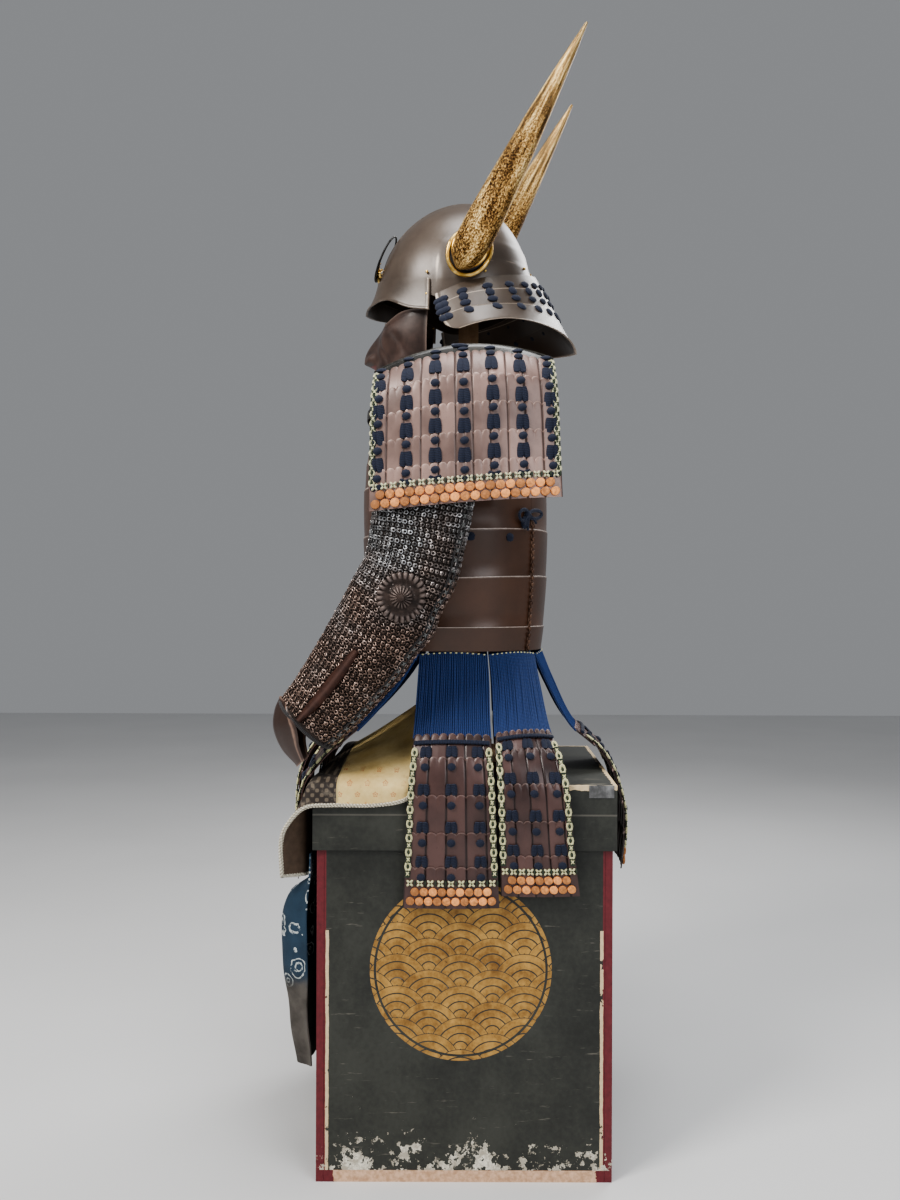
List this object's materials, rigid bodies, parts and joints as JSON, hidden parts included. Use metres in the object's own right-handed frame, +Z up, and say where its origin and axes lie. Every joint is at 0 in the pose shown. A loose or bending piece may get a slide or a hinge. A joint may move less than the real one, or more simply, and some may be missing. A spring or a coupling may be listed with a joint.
{
  "type": "samurai armour on its armour box",
  "caption": "Seated suit of lamellar armour with horned helmet, half mask, mail sleeves and laced skirt plates, resting on a lidded lacquered box.",
  "frame": {"origin": "centre of the box's underside, on the floor", "axes": "+Z up, -Y the way the armour faces, +X its left side"},
  "size_m": [0.5484, 0.5005, 1.6089],
  "materials": {
    "black_lacquer_box": "aged black lacquer on thin softwood boards",
    "stand_wood": "plain planed wood",
    "brown_lacquer": "satin brown lacquer on iron",
    "scale_lacquer": "satin red-brown lacquer",
    "black_lacquer": "glossy black lacquer",
    "blue_cord": "flat braided navy cord",
    "mail": "dark iron mail on brown cloth",
    "rust_iron": "russet iron",
    "gold": "gold leaf over relief lacquer",
    "printed_leather": "cream leather with small printed flowers",
    "indigo_cloth": "indigo cloth with white outline motifs"
  },
  "bodies": {
    "root": {"box_bottom": "black_lacquer_box", "box_front": "black_lacquer_box", "box_back": "black_lacquer_box", "box_lid": "black_lacquer_box", "box_side_left": "black_lacquer_box", "box_side_right": "black_lacquer_box", "cuirass_front": "brown_lacquer", "cuirass_back": "brown_lacquer", "side_hinge": "rust_iron", "side_bow": "blue_cord", "shoulder_strap_left": "brown_lacquer", "shoulder_strap_right": "brown_lacquer", "tasset_cords_side_left": "blue_cord", "tasset_cords_side_right": "blue_cord", "tasset_side_left": "scale_lacquer", "tasset_side_right": "scale_lacquer", "tasset_cords_hip_left": "blue_cord", "tasset_cords_hip_right": "blue_cord", "tasset_hip_left": "scale_lacquer", "tasset_hip_right": "scale_lacquer", "tasset_cords_thigh_left": "blue_cord", "tasset_cords_thigh_right": "blue_cord", "tasset_thigh_left": "scale_lacquer", "tasset_thigh_right": "scale_lacquer", "tasset_cords_back": "blue_cord", "tasset_back": "scale_lacquer", "tasset_cords_front": "blue_cord", "tasset_front": "scale_lacquer", "shoulder_guard_left": "scale_lacquer", "shoulder_guard_right": "scale_lacquer", "shoulder_crown_left": "black_lacquer", "shoulder_crown_right": "black_lacquer", "sleeve_left": "mail", "sleeve_right": "mail", "elbow_rosette_left": "rust_iron", "elbow_rosette_right": "rust_iron", "forearm_splint_left": "rust_iron", "forearm_splint_right": "rust_iron", "hand_guard_left": "brown_lacquer", "hand_guard_right": "brown_lacquer", "shoulder_tie_left": "black_lacquer", "shoulder_tie_right": "black_lacquer", "helmet_bowl": "brown_lacquer", "helmet_brow": "brown_lacquer", "neck_lame_1": "brown_lacquer", "neck_lame_2": "brown_lacquer", "neck_lame_3": "brown_lacquer", "mask": "brown_lacquer", "horn_left": "gold", "horn_right": "gold", "horn_pad_left": "black_lacquer", "horn_pad_right": "black_lacquer", "crescent": "gold", "throat_guard": "black_lacquer", "thigh_guard_left": "printed_leather", "thigh_guard_right": "printed_leather", "under_cloth_left": "indigo_cloth", "under_cloth_right": "indigo_cloth", "stand": "stand_wood"}
  },
  "joints": []
}
